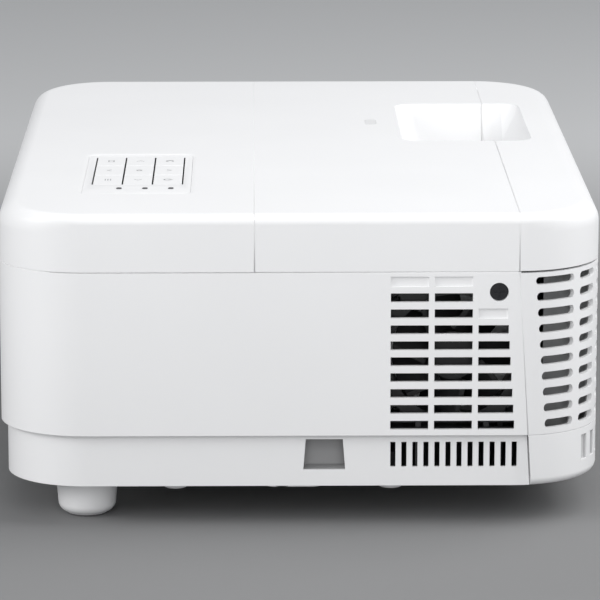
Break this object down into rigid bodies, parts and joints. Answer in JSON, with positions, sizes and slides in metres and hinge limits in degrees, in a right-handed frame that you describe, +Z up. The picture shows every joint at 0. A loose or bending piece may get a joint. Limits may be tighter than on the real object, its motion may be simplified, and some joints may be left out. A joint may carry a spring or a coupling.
{
  "type": "data projector",
  "caption": "Compact white data projector with louvred sides, a top keypad, a recess over the lens and screw-out feet, as separate shells, optics, boards, fans and keys.",
  "frame": {"origin": "centre of the footprint on the table, under the middle of the housing", "axes": "+X out of the lens, +Z up, -Y the louvred side that the picture shows"},
  "size_m": [0.222, 0.312, 0.1169],
  "materials": {
    "white_plastic": "fine satin texture",
    "panel_plastic": "satin",
    "baffle_plastic": "matt",
    "circuit_board": "solder mask",
    "lamp_plastic": "smoked",
    "clear_window": "translucent",
    "dark_window": "smoked",
    "black_steel": "blackened",
    "black_plastic": "satin",
    "lens_glass": "coated",
    "bright_steel": "plated",
    "cast_alloy": "as cast",
    "bare_aluminium": "extruded",
    "copper": "drawn",
    "brass": "knurled",
    "blue_plastic": "satin",
    "green_plastic": "satin",
    "grey_rubber": "matt"
  },
  "bodies": {
    "case": {"bottom_case": "white_plastic", "mid_case": "white_plastic", "top_cover_rear": "white_plastic", "top_cover_front": "white_plastic", "front_cap": "white_plastic", "front_bezel": "white_plastic", "front_skirt": "white_plastic", "rear_panel": "panel_plastic", "front_baffle": "baffle_plastic", "keypad_plate": "white_plastic", "keypad_board": "circuit_board", "status_lamps": "lamp_plastic", "ir_window_top": "clear_window", "ir_window_front": "dark_window", "cover_screws": "black_steel", "lens_barrel": "black_plastic", "front_lens": "lens_glass", "rear_lens": "lens_glass", "lens_flange": "bright_steel", "optical_engine": "cast_alloy", "light_module": "cast_alloy", "light_heatsink": "bare_aluminium", "heat_pipes": "copper", "mirror_chip_board": "circuit_board", "mirror_chip_heatsink": "bare_aluminium", "main_board": "circuit_board", "power_board": "circuit_board", "power_shield": "bright_steel", "speaker": "black_plastic", "exhaust_fan_frame": "black_plastic", "intake_fan_frame": "black_plastic", "power_inlet": "black_plastic", "hdmi_ports": "bright_steel", "vga_port": "blue_plastic", "usb_port": "bright_steel", "audio_jacks": "green_plastic", "serial_port": "bright_steel", "board_screws": "bright_steel", "case_screws": "black_steel", "ceiling_mount_inserts": "brass", "foot_nuts": "bright_steel"},
    "key_1": {"key_1": "white_plastic"},
    "key_2": {"key_2": "white_plastic"},
    "key_3": {"key_3": "white_plastic"},
    "key_4": {"key_4": "white_plastic"},
    "key_5": {"key_5": "white_plastic"},
    "key_6": {"key_6": "white_plastic"},
    "key_7": {"key_7": "white_plastic"},
    "key_8": {"key_8": "white_plastic"},
    "key_9": {"key_9": "white_plastic"},
    "focus_ring": {"focus_ring": "black_plastic"},
    "exhaust_fan_rotor": {"exhaust_fan_rotor": "black_plastic"},
    "intake_fan_rotor": {"intake_fan_rotor": "black_plastic"},
    "rear_foot_near": {"rear_foot_near": "white_plastic"},
    "rear_foot_near_pad": {"rear_foot_near_pad": "grey_rubber"},
    "rear_foot_far": {"rear_foot_far": "white_plastic"},
    "rear_foot_far_pad": {"rear_foot_far_pad": "grey_rubber"},
    "front_foot": {"front_foot": "white_plastic"},
    "front_foot_pad": {"front_foot_pad": "grey_rubber"}
  },
  "joints": [
    {"name": "key_1_press", "type": "slide", "parent": "case", "child": "key_1", "axis": [0, 0, -1], "range_m": [0, 0.0006], "stiffness_N_per_m": 700},
    {"name": "key_2_press", "type": "slide", "parent": "case", "child": "key_2", "axis": [0, 0, -1], "range_m": [0, 0.0006], "stiffness_N_per_m": 700},
    {"name": "key_3_press", "type": "slide", "parent": "case", "child": "key_3", "axis": [0, 0, -1], "range_m": [0, 0.0006], "stiffness_N_per_m": 700},
    {"name": "key_4_press", "type": "slide", "parent": "case", "child": "key_4", "axis": [0, 0, -1], "range_m": [0, 0.0006], "stiffness_N_per_m": 700},
    {"name": "key_5_press", "type": "slide", "parent": "case", "child": "key_5", "axis": [0, 0, -1], "range_m": [0, 0.0006], "stiffness_N_per_m": 700},
    {"name": "key_6_press", "type": "slide", "parent": "case", "child": "key_6", "axis": [0, 0, -1], "range_m": [0, 0.0006], "stiffness_N_per_m": 700},
    {"name": "key_7_press", "type": "slide", "parent": "case", "child": "key_7", "axis": [0, 0, -1], "range_m": [0, 0.0006], "stiffness_N_per_m": 700},
    {"name": "key_8_press", "type": "slide", "parent": "case", "child": "key_8", "axis": [0, 0, -1], "range_m": [0, 0.0006], "stiffness_N_per_m": 700},
    {"name": "key_9_press", "type": "slide", "parent": "case", "child": "key_9", "axis": [0, 0, -1], "range_m": [0, 0.0006], "stiffness_N_per_m": 700},
    {"name": "focus_turn", "type": "hinge", "parent": "case", "child": "focus_ring", "pos_m": [0.0585, 0.046, 0.066], "axis": [1, 0, 0], "range_deg": [-20, 20]},
    {"name": "exhaust_fan_spin", "type": "hinge", "parent": "case", "child": "exhaust_fan_rotor", "pos_m": [0.05605, -0.1424, 0.063], "axis": [0, 1, 0], "continuous": true},
    {"name": "intake_fan_spin", "type": "hinge", "parent": "case", "child": "intake_fan_rotor", "pos_m": [0.05605, 0.1424, 0.063], "axis": [0, 1, 0], "continuous": true},
    {"name": "rear_foot_near_screw_out", "type": "slide", "parent": "case", "child": "rear_foot_near_pad", "axis": [0, 0, -1], "range_m": [0, 0.012]},
    {"name": "rear_foot_near_turn", "type": "hinge", "parent": "rear_foot_near_pad", "child": "rear_foot_near", "pos_m": [-0.079, -0.133, 0.008], "axis": [0, 0, -1], "range_deg": [0, 1440]},
    {"name": "rear_foot_far_screw_out", "type": "slide", "parent": "case", "child": "rear_foot_far_pad", "axis": [0, 0, -1], "range_m": [0, 0.012]},
    {"name": "rear_foot_far_turn", "type": "hinge", "parent": "rear_foot_far_pad", "child": "rear_foot_far", "pos_m": [-0.079, 0.133, 0.008], "axis": [0, 0, -1], "range_deg": [0, 1440]},
    {"name": "front_foot_screw_out", "type": "slide", "parent": "case", "child": "front_foot_pad", "axis": [0, 0, -1], "range_m": [0, 0.012]},
    {"name": "front_foot_turn", "type": "hinge", "parent": "front_foot_pad", "child": "front_foot", "pos_m": [0.086, 0, 0.008], "axis": [0, 0, -1], "range_deg": [0, 1440]}
  ],
  "couplings": [
    {"joint": "rear_foot_near_screw_out", "follows": "rear_foot_near_turn", "m_per_rad": 0.00047746},
    {"joint": "rear_foot_far_screw_out", "follows": "rear_foot_far_turn", "m_per_rad": 0.00047746},
    {"joint": "front_foot_screw_out", "follows": "front_foot_turn", "m_per_rad": 0.00047746}
  ]
}
